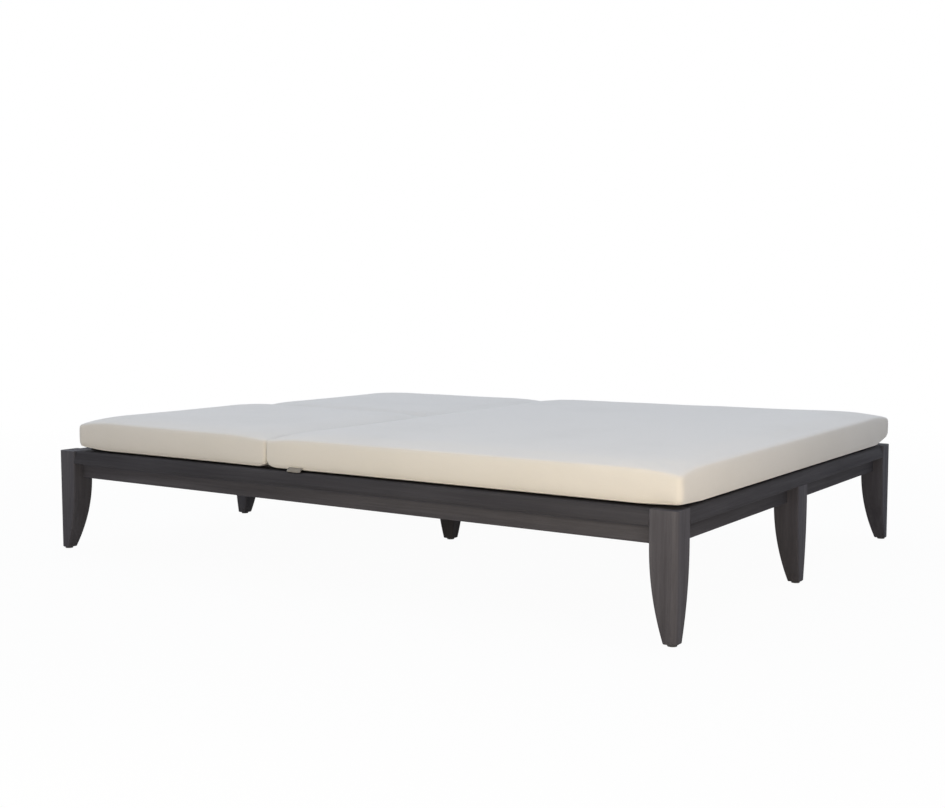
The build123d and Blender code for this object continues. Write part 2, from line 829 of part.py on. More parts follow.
def cushion_cover(start, end, low_y, high_y):
    """A cushion between two ends and two sides, crowned, its sides drawn in between the corners."""
    bottom = deck_top + cushion_gap
    top = bottom + cushion_thickness
    half = (end - start) / 2
    step = math.pi / 2 / round_turn_count
    distances = [cushion_plan_round * (1 - math.cos(i * step)) for i in range(round_turn_count + 1)]
    run = cushion_crown_run - cushion_plan_round
    distances += [cushion_plan_round + run * share for share in crown_run_shares]
    distances.append(half)
    sections = []
    for distance in distances:
        plan = corner_lift(distance, cushion_plan_round)
        draw = side_draw_at(distance, half)
        low_lift = corner_lift(distance, cushion_bottom_round)
        high_lift = corner_lift(distance, cushion_top_round)
        rise = cushion_edge_rise * (1 - max(1 - distance / cushion_crown_run, 0) ** 2)
        sections.append((
            distance,
            low_y + plan + draw,
            high_y - plan - draw,
            bottom + low_lift,
            top - high_lift + rise,
            max(cushion_bottom_round - low_lift, cushion_corner_least),
            max(cushion_top_round - high_lift, cushion_corner_least),
        ))
    faces = [cushion_section(start + s[0], *s[1:]) for s in sections]
    faces += [cushion_section(end - s[0], *s[1:]) for s in reversed(sections[:-1])]
    return loft(faces, ruled=True)


def make_cushion(name, start, end, low_y, high_y):
    """A cover with its wrap, hollow for the foam core inside."""
    cover = cushion_cover(start, end, low_y, high_y)
    bottom = deck_top + cushion_gap + cushion_wrap
    top = deck_top + cushion_gap + cushion_thickness - cushion_wrap
    inset = cushion_wrap + cushion_side_draw
    low = (start + inset, low_y + inset, bottom)
    high = (end - inset, high_y - inset, top)
    core = eased(block(low, high), Axis.Z, core_plan_round)
    hollow = eased(grown(low, high, core_fit), Axis.Z, core_plan_round)
    core = fillet(core.edges().filter_by(Plane.XY), core_round)
    hollow = fillet(hollow.edges().filter_by(Plane.XY), core_round)
    nodes[f"{name}_cover"] = cover - hollow
    nodes[f"{name}_core"] = core


def make_cushions():
    outer = half_width - cushion_side_inset
    seat_end = half_length - cushion_foot_inset
    back_end = cushion_head_inset - half_length
    seat_start = hinge_x + cushion_gap
    make_cushion("seat_cushion", seat_start, seat_end, -outer, outer)
    make_cushion("back_cushion_near", back_end, hinge_x - cushion_gap, -outer, -cushion_gap)
    make_cushion("back_cushion_far", back_end, hinge_x - cushion_gap, cushion_gap, outer)
    make_tag(seat_start, seat_end, outer)


def make_tag(seat_start, seat_end, outer):
    """The fabric tag: sewn under the cushion's edge, over the top board's edge and down its face."""
    lean_height = board_height - board_lip
    lean_length = math.hypot(board_lean, lean_height)
    start = seat_start + cushion_plan_round + tag_from_split
    drawn_in = side_draw_at(start - seat_start, (seat_end - seat_start) / 2)
    drawn_in += corner_lift(tag_lift, cushion_bottom_round)
    sewn = (outer - drawn_in + tag_gap, deck_top + cushion_gap + tag_lift)
    edge = (half_width - board_lean + tag_gap, frame_top + tag_gap)
    hem = (edge[0] + tag_drop * board_lean / lean_length, edge[1] - tag_drop * lean_height / lean_length)
    inside = [sewn, edge, hem]
    outside = [(y + tag_thickness, z + tag_thickness) for y, z in reversed(inside)]
    outline = Polyline(*[(-y, z) for y, z in inside + outside], close=True)
    tag = extrude(Plane.YZ * make_face(outline), tag_width, dir=(1, 0, 0))
    nodes["cushion_tag"] = Pos(start, 0, 0) * tag


make_legs()
make_boards_and_aprons()
make_beams()
join_frame()
make_glides()
make_braces()
root_screws = make_seat_slats()
back_screws = {side: make_back_frame(side, sign) for side, sign in near_and_far.items()}
fixed_screws, moving_screws = make_hinges()
nodes["frame_screws"] = group(root_screws + fixed_screws)
for side, sign in near_and_far.items():
    nodes[f"back_screws_{side}"] = group(back_screws[side] + moving_screws[side])
    make_prop(side, sign)
make_strips()
make_cushions()

for name, piece in nodes.items():
    export_step(piece, f"parts/{name}.step")
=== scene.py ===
"""Finish and cushions of a double chaise lounger, built around its frame.

Metres. X runs from the head to the foot, Y from the near side to the far side, Z up from the floor.
"""
import json
import math

import bpy
import numpy as np
from mathutils import Matrix, Vector, noise


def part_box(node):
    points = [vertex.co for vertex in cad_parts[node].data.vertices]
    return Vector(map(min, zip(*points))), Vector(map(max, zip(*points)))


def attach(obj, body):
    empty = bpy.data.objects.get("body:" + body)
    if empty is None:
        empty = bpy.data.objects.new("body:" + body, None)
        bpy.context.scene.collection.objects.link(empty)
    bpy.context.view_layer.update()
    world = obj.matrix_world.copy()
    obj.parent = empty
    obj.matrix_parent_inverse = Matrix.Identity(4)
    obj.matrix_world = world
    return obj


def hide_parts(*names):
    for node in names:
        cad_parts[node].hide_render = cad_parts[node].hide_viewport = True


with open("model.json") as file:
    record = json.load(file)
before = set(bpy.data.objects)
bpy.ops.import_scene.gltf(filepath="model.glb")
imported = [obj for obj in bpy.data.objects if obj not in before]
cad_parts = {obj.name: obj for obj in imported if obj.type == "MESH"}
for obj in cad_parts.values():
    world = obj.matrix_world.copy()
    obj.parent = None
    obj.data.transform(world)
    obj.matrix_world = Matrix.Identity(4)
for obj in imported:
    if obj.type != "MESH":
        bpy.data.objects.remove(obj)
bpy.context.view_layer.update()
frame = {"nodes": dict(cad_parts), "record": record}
nodes = frame["nodes"]

# Camera of the photograph
image_width = 945
focal_pixels = 1297.32
camera_place = (2.15524, -3.23908, 0.74666)
camera_fall = math.radians(4.7595)
camera_turn = math.radians(34.0489)
camera_roll = math.radians(-0.0688)
sensor_width = 36.0

# Cushions
deck_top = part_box("seat_slats")[1].z
deck_clearance = 0.0003
plan_round_outer = 0.018
plan_round_split = 0.012
split_lift = 0.012
split_run = 0.035
corner_run = 0.080
under_run = 0.115
under_curl = 1.4
corner_ear = 0.003
corner_drop = 0.004
edge_round = 0.013
edge_rise = 0.008
crown = 0.008
rise_run = 0.15
boxing_bulge = 0.0015
side_draw = 0.004
end_draw = 0.0005
edge_cells = 4
corner_cell = 0.008
middle_cell = 0.013
pucker_depth = 0.0005
pucker_run = 0.03
dimple_depth = 0.0012
dimple_scales = (5.0, 13.0)
dimple_fade = 0.08
pucker_scale = 45.0
pucker_seed_shift = 9.0
cloth_cap = 0.002
cloth_pressure = 1.0
cloth_frames = 20
cloth_quality = 4
cloth_mass = 0.25
cloth_tension = 18.0
cloth_compression = 12.0
cloth_shear = 6.0
cloth_bending = 1.5
seam_radius = 0.0016
seam_sides = 8
least_length = 1e-9

# Tag
board_lean = 0.009
tag_thickness = 0.0005
tag_width = 0.0465
tag_shift = -0.0030
tag_seam_inset = 0.0012
tag_seam_height = 0.007
tag_bow_share = 0.7
tag_rows = 14
tag_columns = 20
tag_edge_curl = 0.0010
tag_ripple = 0.0004
tag_ripple_turns = 7.0
tag_out_y = -0.6
tag_out_z = 0.8

# Finishes, as linear colours
stain_dark = (0.064, 0.061, 0.069, 1)
stain_middle = (0.083, 0.080, 0.090, 1)
stain_light = (0.106, 0.103, 0.114, 1)
# The lighter colour for rubbed edges: partly real wear, partly a painted highlight on the eased arrises.
stain_worn_and_highlight = (0.125, 0.121, 0.130, 1)
frame_depth = 0.98
# The boards' copy of the stain is darker: painted shade for the shadow under the cushions' overhang.
board_painted_shade_depth = 0.57
# The end aprons' copy of the stain is darker too: painted shade for the ends, which get less light.
end_painted_shade_depth = 0.62
deck_depth = 0.86
frame_roughness = 0.66
deck_roughness = 0.70
cloth_warp = (0.815, 0.775, 0.710, 1)
cloth_weft = (0.760, 0.720, 0.655, 1)
cloth_worn = (0.700, 0.665, 0.600, 1)
tag_tape = (0.290, 0.270, 0.240, 1)
tag_thread = (0.222, 0.207, 0.185, 1)
cloth_threads = 1150.0
cloth_relief = 0.45
tag_threads = 900.0
tag_relief = 0.6
steel_grey = (0.560, 0.565, 0.570, 1)
steel_dull = (0.36, 0.35, 0.335, 1)
plastic_black = (0.022, 0.022, 0.023, 1)
plastic_scuff = (0.16, 0.155, 0.15, 1)
foam_hollow = (0.55, 0.52, 0.42, 1)
foam_wall = (0.86, 0.83, 0.72, 1)

# Floor, surround and lamps
floor_reach = 30.0
floor_grey = (0.55, 0.55, 0.55, 1)
floor_white_near = 0.965
floor_white_from = 1.5
floor_white_to = 4.5
white = (1, 1, 1, 1)
sky_colour = (0.794, 0.866, 1.0, 1)
sky_strength = 1.51
sky_aim = Vector((-0.28, 0.41, 0.87))
lamps = (
    ("corner_key", (1.7, -2.3, 0.6), (0.9, -0.76, 0.3), (0.9, 0.7), 7.6, (1.0, 0.82, 0.655)),
    ("side_key", (0.7, -2.5, 0.55), (0.4, -0.76, 0.3), (1.0, 0.7), 10.0, (1.0, 0.91, 0.68)),
    ("foot_fill", (2.6, -1.5, 0.6), (1.0, -0.5, 0.32), (0.9, 0.7), 11.3, (1.0, 0.866, 0.666)),
    ("head_fill", (-1.8, -2.6, 0.8), (-0.8, -0.76, 0.3), (1.5, 1.2), 6.3, (1.0, 0.86, 0.70)),
)

# Each cushion's piece, body, dimple seed, lifts of its top's and its underside's corners in the order head
# near, head far, foot near, foot far, and the sides along X and Y on which another cushion lies
cushions = (
    ("seat_cushion", "root", 1.0, (0.0, 0.0, 0.0, 0.008), (0.0, 0.0, 0.006, 0.024), (-1, 0)),
    ("back_cushion_near", "cushion_near", 4.0, (0.005, 0.004, 0.0, 0.0), (0.011, 0.0, 0.0, 0.0), (1, 1)),
    (
        "back_cushion_far", "cushion_far", 7.0, (-0.003, -0.005, -0.002, -0.004), (0.0, 0.011, 0.0, 0.0),
        (1, -1),
    ),
)


# Node helpers

def put(tree, kind, inputs=None, **settings):
    """Add a node, set it up, and feed its inputs with plain values or other nodes' outputs."""
    node = tree.nodes.new(kind)
    for key, value in settings.items():
        setattr(node, key, value)
    for key, value in (inputs or {}).items():
        if isinstance(value, bpy.types.NodeSocket):
            tree.links.new(value, node.inputs[key])
        else:
            node.inputs[key].default_value = value
    return node


def calc(tree, operation, *values):
    """One arithmetic step on values or outputs."""
    return put(tree, "ShaderNodeMath", dict(enumerate(values)), operation=operation).outputs[0]


def calc_vectors(tree, operation, *values):
    """One arithmetic step on vectors that gives a vector."""
    return put(tree, "ShaderNodeVectorMath", dict(enumerate(values)), operation=operation).outputs[0]


def spread(tree, value, low, high, to_low, to_high):
    """Map a value from one range to another, without going past its ends."""
    limits = {0: value, 1: low, 2: high, 3: to_low, 4: to_high}
    return put(tree, "ShaderNodeMapRange", limits).outputs[0]


def mixed(tree, factor, first, second, blend="MIX"):
    """Mix two colours."""
    inputs = {0: factor, 6: first, 7: second}
    return put(tree, "ShaderNodeMix", inputs, data_type="RGBA", blend_type=blend).outputs[2]


def stretched(tree, vector, scale):
    """Coordinates multiplied by a scale on each axis."""
    return calc_vectors(tree, "MULTIPLY", vector, scale)


def noise_at(tree, vector, scale=1.0, detail=2.0, roughness=0.5):
    """Cloudy noise from 0 to 1."""
    inputs = {"Vector": vector, "Scale": scale, "Detail": detail, "Roughness": roughness}
    return put(tree, "ShaderNodeTexNoise", inputs).outputs["Fac"]


def new_group(name, inputs, outputs):
    """An empty node group with named sockets."""
    tree = bpy.data.node_groups.new(name, "ShaderNodeTree")
    for title, kind, value in inputs:
        socket = tree.interface.new_socket(title, in_out="INPUT", socket_type=kind)
        if value is not None:
            socket.default_value = value
    for title, kind in outputs:
        tree.interface.new_socket(title, in_out="OUTPUT", socket_type=kind)
    return tree, put(tree, "NodeGroupInput"), put(tree, "NodeGroupOutput")


def use_group(tree, group, inputs):
    """Place a shared effect in a material and give its outputs."""
    return put(tree, "ShaderNodeGroup", inputs, node_tree=group).outputs


def put_out(tree, result, values):
    """Feed a group's named outputs."""
    for title, value in values.items():
        tree.links.new(value, result.inputs[title])


def new_finish(name):
    """A material with its Principled shader, ready to be fed."""
    finish = bpy.data.materials.new(name)
    finish.use_nodes = True
    tree = finish.node_tree
    return finish, tree, tree.nodes["Principled BSDF"]


def own_place(tree):
    """Place on the piece, in its own coordinates."""
    return put(tree, "ShaderNodeTexCoord").outputs["Object"]


def bumped(tree, shader, height, strength, distance):
    """Feed a height to the shader as fine relief."""
    bump = put(tree, "ShaderNodeBump", {"Strength": strength, "Distance": distance, "Height": height})
    tree.links.new(bump.outputs[0], shader.inputs["Normal"])


def seen_straight(tree):
    """1 for what the camera, a mirror or glass sees directly, 0 for light that bounces."""
    seen = put(tree, "ShaderNodeLightPath").outputs
    straight = calc(tree, "MAXIMUM", seen["Is Camera Ray"], seen["Is Glossy Ray"])
    return calc(tree, "MAXIMUM", straight, seen["Is Transmission Ray"])


# Shared effects

def make_wood_grain():
    """Soft figure, fine streaks and open pores of wood whose grain runs along X."""
    tree, given, result = new_group(
        "wood_grain",
        [("Place", "NodeSocketVector", None), ("Shift", "NodeSocketFloat", 0.0)],
        [("Tone", "NodeSocketFloat"), ("Pores", "NodeSocketFloat"), ("Height", "NodeSocketFloat")],
    )
    shifted = calc_vectors(tree, "ADD", given.outputs["Place"], given.outputs["Shift"])
    wander = noise_at(tree, stretched(tree, shifted, (1.1, 6, 6)), detail=1.0)
    wander = calc(tree, "MULTIPLY", wander, 0.012)
    wander = put(tree, "ShaderNodeCombineXYZ", {1: wander, 2: wander}).outputs[0]
    place = calc_vectors(tree, "ADD", shifted, wander)
    figure = noise_at(tree, stretched(tree, place, (1.3, 34, 34)), detail=2.0)
    streaks = noise_at(tree, stretched(tree, place, (2.6, 120, 120)), detail=3.0, roughness=0.55)
    fibres = noise_at(tree, stretched(tree, place, (13, 520, 520)), detail=2.0, roughness=0.6)
    tone = calc(tree, "MULTIPLY", figure, 0.46)
    tone = calc(tree, "MULTIPLY_ADD", streaks, 0.34, tone)
    tone = calc(tree, "MULTIPLY_ADD", fibres, 0.20, tone)
    dashes = noise_at(tree, stretched(tree, place, (26, 800, 800)), detail=1.0)
    pores = spread(tree, dashes, 0.62, 0.72, 0.0, 1.0)
    height = calc(tree, "MULTIPLY_ADD", fibres, 0.7, calc(tree, "MULTIPLY", streaks, 0.5))
    height = calc(tree, "MULTIPLY_ADD", pores, -0.8, height)
    put_out(tree, result, {"Tone": tone, "Pores": pores, "Height": height})
    return tree


def make_edge_wear_and_highlight():
    """Where an edge has been rubbed, and a painted highlight on the eased arrises: a patchy mask along them.
    """
    tree, given, result = new_group(
        "edge_wear_and_highlight",
        [("Place", "NodeSocketVector", None), ("Width", "NodeSocketFloat", 0.003)],
        [("Mask", "NodeSocketFloat")],
    )
    rounded = put(tree, "ShaderNodeBevel", {"Radius": given.outputs["Width"]}, samples=4).outputs[0]
    flat = put(tree, "ShaderNodeNewGeometry").outputs["Normal"]
    alike = put(tree, "ShaderNodeVectorMath", {0: rounded, 1: flat}, operation="DOT_PRODUCT").outputs["Value"]
    edge = spread(tree, alike, 0.995, 0.90, 0.0, 1.0)
    patches = spread(tree, noise_at(tree, given.outputs["Place"], 26.0, 4.0, 0.6), 0.38, 0.66, 0.15, 1.0)
    put_out(tree, result, {"Mask": calc(tree, "MULTIPLY", edge, patches)})
    return tree


def make_plain_weave():
    """Plain weave on all sides of a piece: thread crossings by place, picked by the way the surface faces."""
    tree, given, result = new_group(
        "plain_weave",
        [("Place", "NodeSocketVector", None), ("Threads", "NodeSocketFloat", 1300.0)],
        [("Height", "NodeSocketFloat"), ("Warp", "NodeSocketFloat"), ("Slubs", "NodeSocketFloat")],
    )
    place = given.outputs["Place"]
    turns = calc(tree, "MULTIPLY", given.outputs["Threads"], math.pi)
    scaled = put(tree, "ShaderNodeVectorMath", {0: place, 3: turns}, operation="SCALE").outputs[0]
    waves = calc_vectors(tree, "SINE", scaled)
    wave = put(tree, "ShaderNodeSeparateXYZ", {0: waves}).outputs
    facing = put(tree, "ShaderNodeNewGeometry").outputs["Normal"]
    facing = calc_vectors(tree, "MULTIPLY", facing, facing)
    share = put(tree, "ShaderNodeSeparateXYZ", {0: facing}).outputs
    crossing = calc(tree, "MULTIPLY", calc(tree, "MULTIPLY", wave["X"], wave["Y"]), share["Z"])
    for partner, face in (("X", "Y"), ("Y", "X")):
        product = calc(tree, "MULTIPLY", wave[partner], wave["Z"])
        crossing = calc(tree, "MULTIPLY_ADD", product, share[face], crossing)
    warp = spread(tree, crossing, -0.25, 0.25, 0.0, 1.0)
    height = calc(tree, "ABSOLUTE", crossing)
    along_x = noise_at(tree, stretched(tree, place, (28, 1000, 1000)), detail=1.0)
    along_y = noise_at(tree, stretched(tree, place, (1000, 28, 1000)), detail=1.0)
    slubs = calc(tree, "MAXIMUM", along_x, along_y)
    put_out(tree, result, {"Height": height, "Warp": warp, "Slubs": slubs})
    return tree


wood_grain = make_wood_grain()
edge_wear_and_highlight = make_edge_wear_and_highlight()
plain_weave = make_plain_weave()


# Finishes

def make_stained_wood(name, along, depth, roughness):
    """Charcoal stain on open-grained wood whose grain runs along one axis."""
    finish, tree, shader = new_finish(name)
    place = own_place(tree)
    turn = {"x": (0, 0, 0), "y": (0, 0, math.pi / 2), "z": (0, math.pi / 2, 0)}[along]
    lined_up = put(tree, "ShaderNodeMapping", {"Vector": place, "Rotation": turn}).outputs[0]
    piece = put(tree, "ShaderNodeObjectInfo").outputs["Random"]
    shift = calc(tree, "MULTIPLY", piece, 3.7)
    grain = use_group(tree, wood_grain, {"Place": lined_up, "Shift": shift})
    low = spread(tree, grain["Tone"], 0.36, 0.50, 0.0, 1.0)
    high = spread(tree, grain["Tone"], 0.50, 0.66, 0.0, 1.0)
    colour = mixed(tree, low, stain_dark, stain_middle)
    colour = mixed(tree, high, colour, stain_light)
    cloudy = spread(tree, noise_at(tree, place, 5.0, 2.0), 0.3, 0.7, 0.90, 1.08)
    cloudy = calc(tree, "MULTIPLY", cloudy, spread(tree, piece, 0.0, 1.0, 0.95, 1.05))
    cloudy = calc(tree, "MULTIPLY", cloudy, depth)
    tint = put(tree, "ShaderNodeCombineXYZ", {0: cloudy, 1: cloudy, 2: cloudy}).outputs[0]
    colour = mixed(tree, 1.0, colour, tint, "MULTIPLY")
    pores = calc(tree, "MULTIPLY", grain["Pores"], 0.35)
    colour = mixed(tree, pores, colour, stain_dark)
    # Lighter edges: partly real wear, partly a painted highlight along the eased arrises.
    worn = use_group(tree, edge_wear_and_highlight, {"Place": place, "Width": 0.0028})["Mask"]
    colour = mixed(tree, calc(tree, "MULTIPLY", worn, 0.40), colour, stain_worn_and_highlight)
    tree.links.new(colour, shader.inputs["Base Color"])
    rough = spread(tree, grain["Tone"], 0.3, 0.7, roughness + 0.08, roughness - 0.06)
    rough = calc(tree, "MULTIPLY_ADD", grain["Pores"], 0.12, rough)
    tree.links.new(rough, shader.inputs["Roughness"])
    shader.inputs["Specular IOR Level"].default_value = 0.06
    bumped(tree, shader, grain["Height"], 0.35, 0.0005)
    return finish


def make_steel():
    """Stainless steel, brushed along the piece and dulled in patches."""
    finish, tree, shader = new_finish("brushed_steel")
    place = own_place(tree)
    lines = noise_at(tree, stretched(tree, place, (60, 2400, 2400)), detail=2.0)
    dull = noise_at(tree, place, 90.0, 3.0, 0.6)
    colour = mixed(tree, spread(tree, dull, 0.45, 0.75, 0.0, 0.5), steel_grey, steel_dull)
    tree.links.new(colour, shader.inputs["Base Color"])
    shader.inputs["Metallic"].default_value = 1.0
    rough = calc(tree, "MULTIPLY_ADD", dull, 0.22, spread(tree, lines, 0.3, 0.7, 0.22, 0.36))
    tree.links.new(rough, shader.inputs["Roughness"])
    bumped(tree, shader, lines, 0.25, 0.0001)
    return finish


def make_glide_plastic():
    """Black moulded plastic, scuffed where it meets the floor."""
    finish, tree, shader = new_finish("glide_plastic")
    place = own_place(tree)
    texture = noise_at(tree, place, 900.0, 2.0)
    up = put(tree, "ShaderNodeSeparateXYZ", {0: place}).outputs["Z"]
    patches = noise_at(tree, place, 240.0, 4.0, 0.7)
    scuff = calc(tree, "MULTIPLY", spread(tree, up, 0.0, 0.0025, 1.0, 0.0), patches)
    colour = mixed(tree, scuff, plastic_black, plastic_scuff)
    tree.links.new(colour, shader.inputs["Base Color"])
    tree.links.new(spread(tree, texture, 0.3, 0.7, 0.42, 0.6), shader.inputs["Roughness"])
    bumped(tree, shader, texture, 0.3, 0.0002)
    return finish


def make_woven_cloth(name, warp, weft, worn, threads, relief):
    """Matte plain-woven cloth with slubs, a little soiling and a soft nap."""
    finish, tree, shader = new_finish(name)
    place = own_place(tree)
    weave = use_group(tree, plain_weave, {"Place": place, "Threads": threads})
    colour = mixed(tree, weave["Warp"], weft, warp)
    soil = spread(tree, noise_at(tree, place, 3.6, 4.0, 0.6), 0.46, 0.78, 0.0, 0.35)
    colour = mixed(tree, soil, colour, worn)
    slubs = spread(tree, weave["Slubs"], 0.55, 0.78, 0.0, 0.30)
    colour = mixed(tree, slubs, colour, worn)
    tree.links.new(colour, shader.inputs["Base Color"])
    tree.links.new(spread(tree, weave["Slubs"], 0.4, 0.8, 0.92, 0.78), shader.inputs["Roughness"])
    shader.inputs["Specular IOR Level"].default_value = 0.2
    shader.inputs["Sheen Weight"].default_value = 0.12
    shader.inputs["Sheen Roughness"].default_value = 0.6
    height = calc(tree, "MULTIPLY_ADD", weave["Slubs"], 0.6, weave["Height"])
    bumped(tree, shader, height, relief, 0.0003)
    return finish


def make_foam():
    """Pale open-cell foam."""
    finish, tree, shader = new_finish("open_foam")
    place = own_place(tree)
    cells = put(tree, "ShaderNodeTexVoronoi", {"Vector": place, "Scale": 700.0}).outputs["Distance"]
    colour = mixed(tree, spread(tree, cells, 0.1, 0.6, 0.0, 1.0), foam_hollow, foam_wall)
    tree.links.new(colour, shader.inputs["Base Color"])
    tree.links.new(spread(tree, cells, 0.0, 0.6, 0.95, 0.8), shader.inputs["Roughness"])
    bumped(tree, shader, cells, 0.6, 0.0006)
    return finish


def wood_by_grain(name, axes, depth, roughness):
    """One stained finish for each way that the grain can run."""
    return {axis: make_stained_wood(f"{name}_{axis}", axis, depth, roughness) for axis in axes}


frame_wood = wood_by_grain("stained_wood", "xyz", frame_depth, frame_roughness)
# Painted shade: a darker copy of the stain for the boards under the cushions' overhang.
board_wood_painted_shade = wood_by_grain("board_wood_painted_shade", "xy", board_painted_shade_depth, frame_roughness)
# Painted shade: a darker copy of the stain for the end aprons.
end_wood_painted_shade = make_stained_wood("end_wood_painted_shade", "y", end_painted_shade_depth, frame_roughness)
deck_wood = wood_by_grain("deck_wood", "xyz", deck_depth, deck_roughness)
brushed_steel = make_steel()
glide_plastic = make_glide_plastic()
cushion_cloth = make_woven_cloth(
    "cushion_cloth", cloth_warp, cloth_weft, cloth_worn, cloth_threads, cloth_relief
)
tag_cloth = make_woven_cloth("tag_cloth", tag_tape, tag_thread, tag_thread, tag_threads, tag_relief)
open_foam = make_foam()


def finish_node(name, finish):
    """Give a node one finish all over."""
    slots = nodes[name].data.materials
    slots.clear()
    slots.append(finish)


def finish_frame():
    """The stained wood, its grain along each piece, and the hardware."""
    grain_axis = {
        "leg_": "z", "side_": "x", "end_": "y", "centre_beam": "x", "hinge_cross": "y", "slat_cleats": "x",
        "corner_braces": "x", "seat_slats": "y", "notch_strip": "x", "back_hinge": "y", "back_head": "y",
        "back_stiles": "x", "back_slats": "y", "prop_arms": "x",
    }
    wood_of = {"stained_wood": frame_wood, "deck_wood": deck_wood}
    plain_of = {"steel": brushed_steel, "glide_plastic": glide_plastic, "foam": open_foam,
                "cushion_cloth": cushion_cloth, "tag_cloth": tag_cloth}
    for part in frame["record"]["subparts"]:
        name, slot = part["node"], part["material_slot"]
        if slot in wood_of:
            axis = next(axis for start, axis in grain_axis.items() if name.startswith(start))
            # Boards take the darker copy of the stain: painted shade under the cushions' overhang.
            wood = board_wood_painted_shade[axis] if "_board_" in name else wood_of[slot][axis]
            # End aprons take their own darker copy of the stain: painted shade.
            finish_node(name, end_wood_painted_shade if name.startswith("end_apron") else wood)
        else:
            finish_node(name, plain_of[slot])


# Meshes

def new_piece(name, points, faces, finish, smooth=True):
    """A mesh piece with one finish, placed in the scene."""
    mesh = bpy.data.meshes.new(name)
    mesh.from_pydata([tuple(p) for p in points], [], faces)
    mesh.polygons.foreach_set("use_smooth", [smooth] * len(faces))
    mesh.materials.append(finish)
    mesh.update()
    piece = bpy.data.objects.new(name, mesh)
    bpy.context.scene.collection.objects.link(piece)
    return piece


def stations(length):
    """Places of the mesh's rows along one side: close at the edges, wider in the middle."""
    half = length / 2
    places = [edge_round * i / edge_cells for i in range(edge_cells)]
    reach = min(corner_run, half)
    corner_count = max(1, round((reach - edge_round) / corner_cell))
    places += [edge_round + (reach - edge_round) * i / corner_count for i in range(corner_count)]
    middle_count = round((half - reach) / middle_cell)
    places += [reach + (half - reach) * i / middle_count for i in range(middle_count)]
    return [p - half for p in places] + [0.0] + [half - p for p in reversed(places)]


def box_surface(counts):
    """Index triples and quads over the surface of a block of cells."""
    index = {}
    faces = []
    for axis in range(3):
        u, v = [a for a in range(3) if a != axis]
        for end in (0, counts[axis]):
            outward = (end > 0) != (axis == 1)
            steps = ((0, 0), (1, 0), (1, 1), (0, 1)) if outward else ((0, 0), (0, 1), (1, 1), (1, 0))
            for a in range(counts[u]):
                for b in range(counts[v]):
                    quad = []
                    for du, dv in steps:
                        key = [0, 0, 0]
                        key[axis], key[u], key[v] = end, a + du, b + dv
                        quad.append(index.setdefault(tuple(key), len(index)))
                    faces.append(quad)
    return list(index), faces


def onto_round(across, along):
    """Turn a square corner's place into a round one's, keeping its depth."""
    across = np.clip(across, 0, None)
    along = np.clip(along, 0, None)
    deepest = np.maximum(across, along)
    length = np.hypot(across, along)
    inside = (across > 0) & (along > 0)
    share = np.where(inside, deepest / np.maximum(length, least_length), 1.0)
    return across * share, along * share, inside


def rise_at(distance):
    """How much of its rise the top has reached at a distance in from an edge, from 0 to 1."""
    return 1 - (1 - np.clip(distance / rise_run, 0, 1)) ** 2


def nearness(to_end, to_side, run):
    """1 in a corner, falling to 0 at a run's length from its end or its side."""
    return np.clip(1 - to_end / run, 0, 1) * np.clip(1 - to_side / run, 0, 1)


def between_corners(values, along, over):
    """A value that runs evenly between the corners head near, head far, foot near and foot far."""
    head_near, head_far, foot_near, foot_far = values
    head = head_near * (1 - over) + head_far * over
    foot = foot_near * (1 - over) + foot_far * over
    return head * (1 - along) + foot * along


